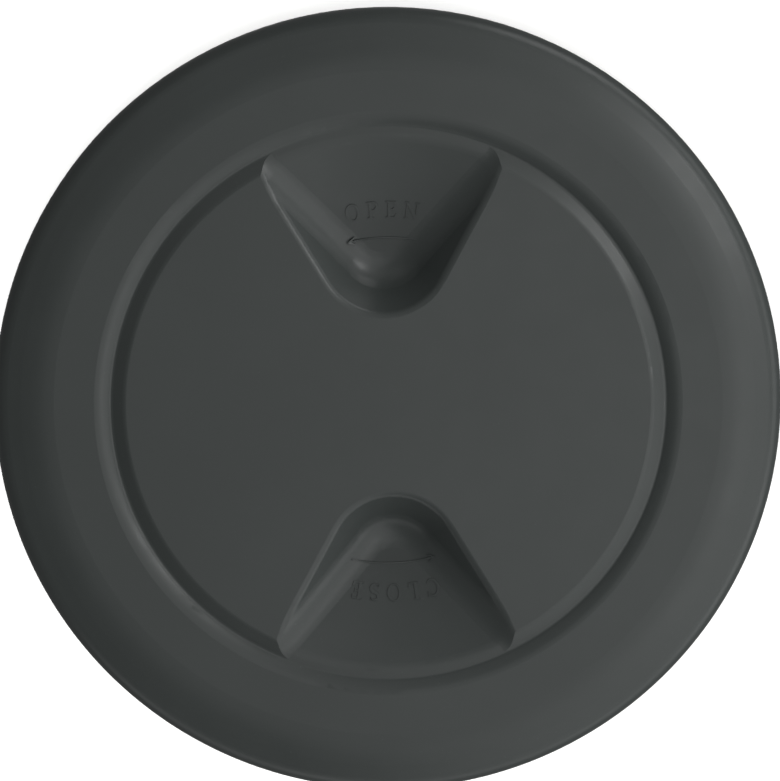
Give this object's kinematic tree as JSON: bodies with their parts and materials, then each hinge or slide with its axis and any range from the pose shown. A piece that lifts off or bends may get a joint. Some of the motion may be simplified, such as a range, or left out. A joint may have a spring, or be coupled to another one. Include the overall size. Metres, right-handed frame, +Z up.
{
  "type": "deck inspection plate",
  "caption": "Round screw-in deck plate: domed lid with a ring groove and two tapered finger wells over a threaded frame, its screw flange hidden under the rim, with a ring seal.",
  "frame": {"origin": "middle of the deck opening at deck level, where the flange's underside meets the barrel", "axes": "+Z up out of the deck along the thread's axis, Y through the middle of both finger wells"},
  "size_m": [0.175, 0.175, 0.034],
  "materials": {
    "frame_plastic": "moulded, semi-matte",
    "lid_plastic": "moulded, semi-matte",
    "seal_rubber": "smooth rubber"
  },
  "bodies": {
    "frame": {"frame_ring": "frame_plastic"},
    "seal": {"lid_seal": "seal_rubber"},
    "lid": {"lid": "lid_plastic"}
  },
  "joints": [
    {"name": "lid_lift", "type": "slide", "parent": "frame", "child": "seal", "axis": [0, 0, 1], "range_m": [0, 0.006]},
    {"name": "lid_turn", "type": "hinge", "parent": "seal", "child": "lid", "pos_m": [0, 0, 0], "axis": [0, 0, 1], "range_deg": [0, 540]}
  ],
  "couplings": [
    {"joint": "lid_lift", "follows": "lid_turn", "m_per_rad": 0.00063662}
  ]
}
